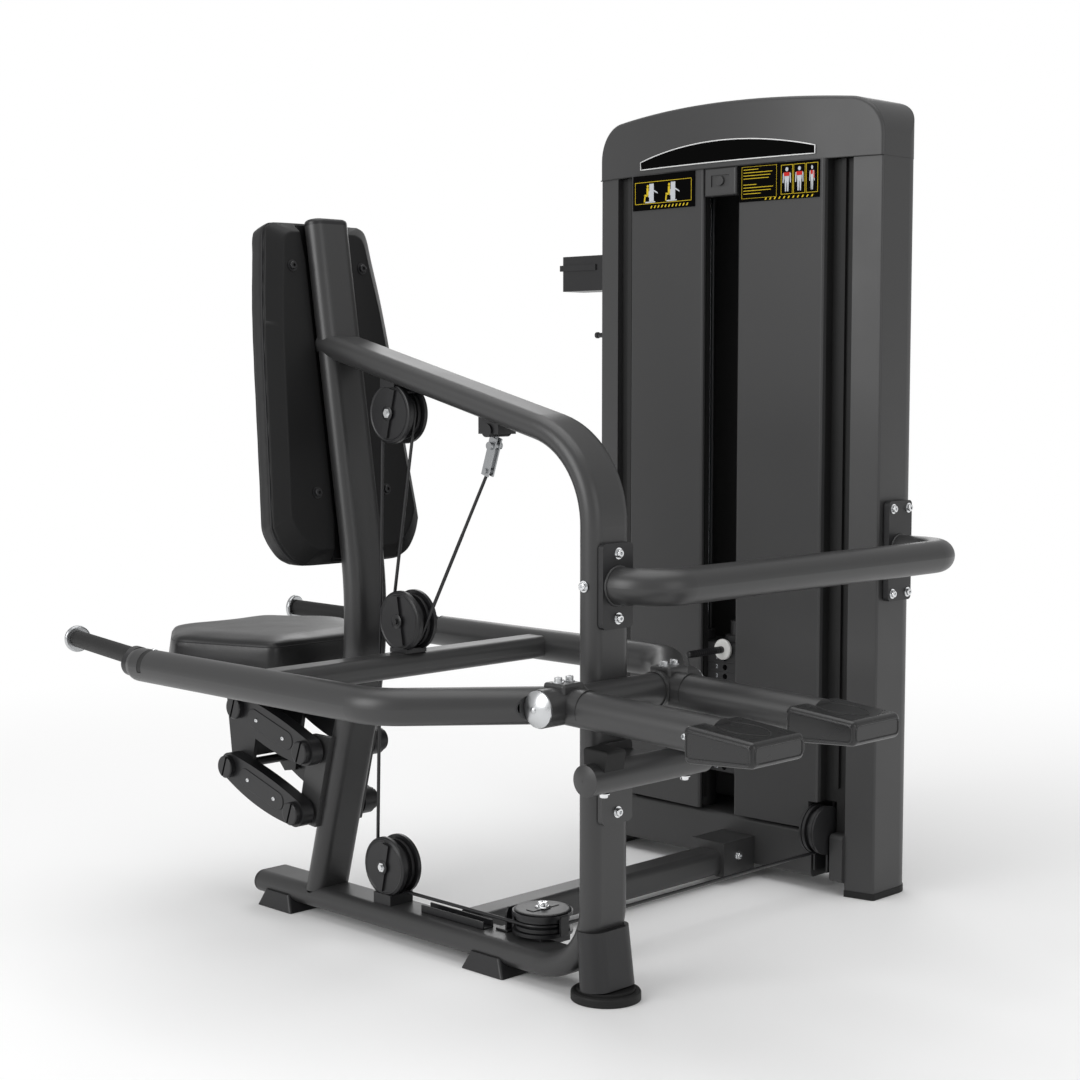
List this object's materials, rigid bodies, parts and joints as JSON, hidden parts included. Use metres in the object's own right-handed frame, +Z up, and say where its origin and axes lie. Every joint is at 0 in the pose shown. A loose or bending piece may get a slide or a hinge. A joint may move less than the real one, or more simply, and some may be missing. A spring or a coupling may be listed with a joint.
{
  "type": "seated dip machine",
  "caption": "Seated dip machine: padded seat and back on a bent-tube frame, lever arms with swivelling grips, counterweights, cable pulleys and an enclosed weight-stack tower at one side.",
  "frame": {"origin": "centre of the bounding box's footprint, on the floor", "axes": "+Z up and the longest extent is along Y; the user faces -Y, the weight tower stands on the -X side"},
  "size_m": [1.2446, 1.532, 1.49],
  "materials": {
    "frame_coat": "satin",
    "tower_coat": "satin",
    "black_plastic": "satin",
    "black_rubber": "matte",
    "cable_sheath": "satin",
    "bright_steel": "polished",
    "grip_alloy": "satin",
    "vinyl": "satin",
    "stack_iron": "satin",
    "pin_plastic": "gloss",
    "sign_panel": "gloss"
  },
  "bodies": {
    "frame": {"main_frame": "frame_coat", "seat_post": "frame_coat", "tube_end_caps": "black_plastic", "frame_feet": "frame_coat", "rubber_feet": "black_rubber", "link_beam": "frame_coat", "guard_bar": "frame_coat", "guard_plates": "frame_coat", "frame_bolts": "bright_steel", "stop_bar": "frame_coat", "bumpers": "black_rubber", "frame_pulley_guards": "black_plastic", "cable_clamp": "bright_steel", "cable_main": "cable_sheath", "stack_cable": "cable_sheath", "tower_posts": "tower_coat", "tower_header": "tower_coat", "tower_panels": "tower_coat", "tower_recesses": "black_plastic", "tower_base": "tower_coat", "tower_pulley_brackets": "black_plastic", "guide_rods": "bright_steel", "weight_plates": "stack_iron", "tower_signs": "sign_panel", "tower_block": "black_plastic", "side_holder": "black_plastic", "seat_bracket": "frame_coat", "back_cushion": "vinyl", "back_board": "black_plastic", "back_board_screws": "bright_steel"},
    "press_arm": {"arm_left": "frame_coat", "arm_right": "frame_coat", "arm_cross_bar": "frame_coat", "hub_hardware": "bright_steel", "counterweights": "frame_coat", "arm_pulley_guard": "black_plastic"},
    "grip_left_body": {"grip_lug_left": "black_plastic", "grip_left": "black_rubber", "grip_cap_left": "grip_alloy"},
    "grip_right_body": {"grip_lug_right": "black_plastic", "grip_right": "black_rubber", "grip_cap_right": "grip_alloy"},
    "upper_wheel": {"upper_pulley_wheel": "black_plastic"},
    "arm_wheel": {"arm_pulley_wheel": "black_plastic"},
    "low_wheel": {"low_pulley_wheel": "black_plastic"},
    "floor_wheel": {"floor_pulley_wheel": "black_plastic"},
    "tower_wheel": {"tower_low_wheel": "black_plastic"},
    "top_wheel_a": {"top_wheel_outer": "black_plastic"},
    "top_wheel_b": {"top_wheel_inner": "black_plastic"},
    "cable_front_up": {"cable_clamp_half": "cable_sheath"},
    "cable_front_low": {"cable_clamp_arm_half": "cable_sheath", "cable_arm_wrap": "cable_sheath"},
    "cable_back_up": {"cable_upper_half": "cable_sheath"},
    "cable_back_low": {"cable_upper_arm_half": "cable_sheath"},
    "weight_carriage": {"head_plate": "stack_iron"},
    "pin_body": {"selector_pin": "pin_plastic"},
    "seat_links_upper": {"links_upper": "black_plastic"},
    "seat_links_lower": {"links_lower": "black_plastic"},
    "seat_body": {"seat_carriage": "frame_coat", "seat_cushion": "vinyl"}
  },
  "joints": [
    {"name": "arm_swing", "type": "hinge", "parent": "frame", "child": "press_arm", "pos_m": [0.26375, 0.36466, 0.48], "axis": [1, 0, 0], "range_deg": [0, 20]},
    {"name": "grip_swivel_left", "type": "hinge", "parent": "press_arm", "child": "grip_left_body", "pos_m": [0.59375, -0.44234, 0.48], "axis": [0, 1, 0], "range_deg": [-5, 175]},
    {"name": "grip_swivel_right", "type": "hinge", "parent": "press_arm", "child": "grip_right_body", "pos_m": [-0.06625, -0.44234, 0.48], "axis": [0, -1, 0], "range_deg": [-16, 164]},
    {"name": "upper_wheel_spin", "type": "hinge", "parent": "frame", "child": "upper_wheel", "pos_m": [0.26375, -0.14234, 0.907], "axis": [1, 0, 0], "range_deg": [-460, 10]},
    {"name": "arm_wheel_spin", "type": "hinge", "parent": "press_arm", "child": "arm_wheel", "pos_m": [0.26375, -0.12134, 0.554], "axis": [1, 0, 0], "range_deg": [-10, 200]},
    {"name": "low_wheel_spin", "type": "hinge", "parent": "frame", "child": "low_wheel", "pos_m": [0.26375, -0.16434, 0.121], "axis": [1, 0, 0], "range_deg": [-460, 10]},
    {"name": "floor_wheel_spin", "type": "hinge", "parent": "frame", "child": "floor_wheel", "pos_m": [0.22245, 0.16166, 0.0797], "axis": [0, 0, 1], "range_deg": [-460, 10]},
    {"name": "tower_wheel_spin", "type": "hinge", "parent": "frame", "child": "tower_wheel", "pos_m": [-0.47895, 0.20296, 0.121], "axis": [0, 1, 0], "range_deg": [-460, 10]},
    {"name": "top_wheel_a_spin", "type": "hinge", "parent": "frame", "child": "top_wheel_a", "pos_m": [-0.52025, 0.16166, 1.392], "axis": [1, 0, 0], "range_deg": [-460, 10]},
    {"name": "top_wheel_b_spin", "type": "hinge", "parent": "frame", "child": "top_wheel_b", "pos_m": [-0.52025, 0.00496, 1.392], "axis": [1, 0, 0], "range_deg": [-460, 10]},
    {"name": "cable_front_up_tilt", "type": "hinge", "parent": "frame", "child": "cable_front_up", "pos_m": [0.26375, 0.07823, 0.81643], "axis": [1, 0, 0], "range_deg": [-1, 12]},
    {"name": "cable_front_low_tilt", "type": "hinge", "parent": "press_arm", "child": "cable_front_low", "pos_m": [0.26375, -0.12134, 0.554], "axis": [1, 0, 0], "range_deg": [-11, 1]},
    {"name": "cable_back_up_tilt", "type": "hinge", "parent": "frame", "child": "cable_back_up", "pos_m": [0.26375, -0.14234, 0.907], "axis": [1, 0, 0], "range_deg": [-1, 5]},
    {"name": "cable_back_low_tilt", "type": "hinge", "parent": "press_arm", "child": "cable_back_low", "pos_m": [0.26375, -0.12134, 0.554], "axis": [1, 0, 0], "range_deg": [-18, 1]},
    {"name": "weight_lift", "type": "slide", "parent": "frame", "child": "weight_carriage", "axis": [0, 0, 1], "range_m": [0, 0.34], "deforming": ["stack_cable"]},
    {"name": "pin_pull", "type": "slide", "parent": "weight_carriage", "child": "pin_body", "axis": [1, 0, 0], "range_m": [0, 0.05]},
    {"name": "seat_raise", "type": "hinge", "parent": "frame", "child": "seat_links_upper", "pos_m": [0.26375, -0.30534, 0.312], "axis": [-1, 0, 0], "range_deg": [-8, 20]},
    {"name": "seat_level", "type": "hinge", "parent": "seat_links_upper", "child": "seat_body", "pos_m": [0.26375, -0.49634, 0.369], "axis": [-1, 0, 0], "range_deg": [-21, 9]},
    {"name": "seat_lower_link", "type": "hinge", "parent": "frame", "child": "seat_links_lower", "pos_m": [0.26375, -0.33334, 0.199], "axis": [-1, 0, 0], "range_deg": [-9, 21]}
  ],
  "couplings": [
    {"joint": "upper_wheel_spin", "follows": "arm_swing", "ratio": -22.2},
    {"joint": "low_wheel_spin", "follows": "arm_swing", "ratio": -22.2},
    {"joint": "floor_wheel_spin", "follows": "arm_swing", "ratio": -22.2},
    {"joint": "tower_wheel_spin", "follows": "arm_swing", "ratio": -22.2},
    {"joint": "top_wheel_a_spin", "follows": "arm_swing", "ratio": -22.2},
    {"joint": "top_wheel_b_spin", "follows": "arm_swing", "ratio": -22.2},
    {"joint": "arm_wheel_spin", "follows": "arm_swing", "ratio": 9.1},
    {"joint": "cable_front_up_tilt", "follows": "arm_swing", "ratio": 0.5375},
    {"joint": "cable_front_low_tilt", "follows": "arm_swing", "ratio": -0.4625},
    {"joint": "cable_back_up_tilt", "follows": "arm_swing", "ratio": 0.1885},
    {"joint": "cable_back_low_tilt", "follows": "arm_swing", "ratio": -0.8115},
    {"joint": "weight_lift", "follows": "arm_swing", "m_per_rad": 0.92},
    {"joint": "seat_level", "follows": "seat_raise", "ratio": -1},
    {"joint": "seat_lower_link", "follows": "seat_raise", "ratio": 1}
  ]
}
